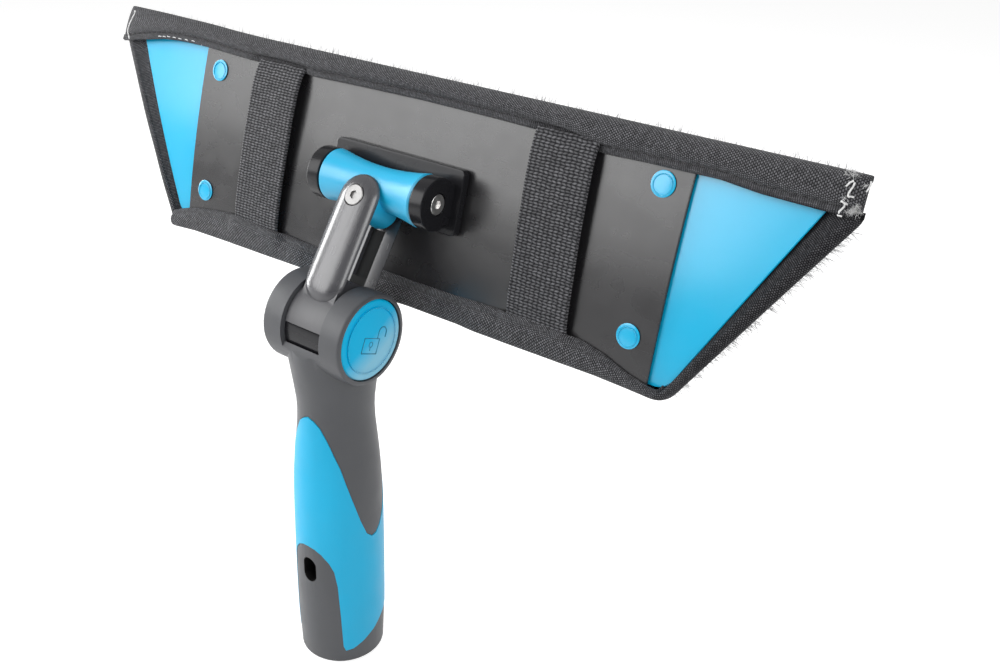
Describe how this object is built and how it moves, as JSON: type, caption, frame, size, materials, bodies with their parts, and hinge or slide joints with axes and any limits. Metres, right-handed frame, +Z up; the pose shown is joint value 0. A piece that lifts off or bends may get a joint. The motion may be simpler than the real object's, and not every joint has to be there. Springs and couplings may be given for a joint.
{
  "type": "window cleaning pad holder",
  "caption": "Hand-held window cleaning pad holder with a ribbed-hem microfibre pad, flexible wing tips, a swivel tee, a lockable knuckle and a pole socket in its handle.",
  "frame": {"origin": "the pole seat: the middle of the flat blind end of the handle's socket", "axes": "+Z up the handle towards the knuckle, +X along the pad and the knuckle's axis, +Y towards the pad and the glass"},
  "size_m": [0.3524, 0.0847, 0.2402],
  "materials": {
    "soft_grey": "soft-touch satin, moulded",
    "blue_rubber": "smooth satin thermoplastic rubber",
    "natural_plastic": "plain acetal",
    "steel": "stainless, turned",
    "blue_plastic": "semi-gloss, moulded",
    "gloss_grey": "semi-gloss dark grey, moulded",
    "gloss_black": "gloss black, moulded",
    "satin_black": "satin black, moulded",
    "foam": "open-cell foam",
    "white_fleece": "long-pile microfibre",
    "woven_grey": "heavy woven nylon, ribbed"
  },
  "bodies": {
    "handle": {"handle_body": "soft_grey", "grip_inlay": "blue_rubber", "left_pivot_bush": "natural_plastic", "right_pivot_bush": "natural_plastic"},
    "lock": {"lock_shaft": "steel", "unlock_button": "blue_plastic", "lock_button": "blue_plastic"},
    "fork": {"fork_body": "gloss_grey", "index_drum": "gloss_black", "swivel_screw": "steel", "swivel_nut": "steel", "front_washer": "natural_plastic", "rear_washer": "natural_plastic"},
    "tee": {"swivel_tee": "blue_plastic", "swivel_bush": "natural_plastic"},
    "head": {"mount_bracket": "gloss_black", "barrel_axle": "steel", "left_axle_screw": "steel", "right_axle_screw": "steel", "bottom_left_bracket_screw": "steel", "top_left_bracket_screw": "steel", "bottom_right_bracket_screw": "steel", "top_right_bracket_screw": "steel", "backing_plate": "satin_black", "left_wing": "blue_plastic", "right_wing": "blue_plastic", "top_left_rivet": "blue_plastic", "bottom_left_rivet": "blue_plastic", "top_right_rivet": "blue_plastic", "bottom_right_rivet": "blue_plastic", "pad_core": "foam", "microfibre_face": "white_fleece", "top_hem": "woven_grey", "bottom_hem": "woven_grey", "left_end_hem": "woven_grey", "right_end_hem": "woven_grey", "left_strap": "woven_grey", "right_strap": "woven_grey"}
  },
  "joints": [
    {"name": "knuckle_hinge", "type": "hinge", "parent": "handle", "child": "fork", "pos_m": [0, 0, 0.0754], "axis": [1, 0, 0], "range_deg": [-40, 60]},
    {"name": "swivel", "type": "hinge", "parent": "fork", "child": "tee", "pos_m": [0, 0.02247, 0.11766], "axis": [0, -0.829, 0.5592], "range_deg": [-28, 28]},
    {"name": "head_hinge", "type": "hinge", "parent": "tee", "child": "head", "pos_m": [0, 0.02655, 0.12371], "axis": [1, 0, 0], "range_deg": [0, 110]},
    {"name": "lock_slide", "type": "slide", "parent": "handle", "child": "lock", "axis": [1, 0, 0], "range_m": [0, 0.0032]}
  ]
}
